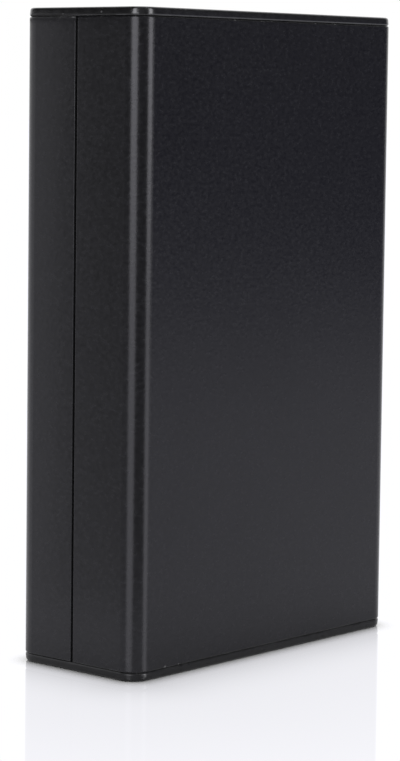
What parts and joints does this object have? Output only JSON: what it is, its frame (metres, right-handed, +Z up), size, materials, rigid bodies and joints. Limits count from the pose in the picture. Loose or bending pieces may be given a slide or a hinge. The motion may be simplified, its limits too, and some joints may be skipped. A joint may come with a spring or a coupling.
{
  "type": "aluminium enclosure",
  "caption": "Flat black split-body aluminium enclosure for a circuit board: lapped extruded half shells closed by screwed flat end plates, standing on one end.",
  "frame": {"origin": "centre of the outer face of the bottom end plate, which it stands on", "axes": "+Z up along the extrusion, X across the wide faces, Y across the thickness, front shell towards -Y"},
  "size_m": [0.05, 0.02, 0.0814],
  "materials": {
    "shell": "fine bead-blasted black anodised, satin",
    "end_plate": "fine bead-blasted black anodised, satin",
    "screw": "black zinc plated, satin"
  },
  "bodies": {
    "root": {"front_shell": "shell", "rear_shell": "shell", "top_end_plate": "end_plate", "bottom_end_plate": "end_plate", "top_plate_screws": "screw", "bottom_plate_screws": "screw"}
  },
  "joints": []
}
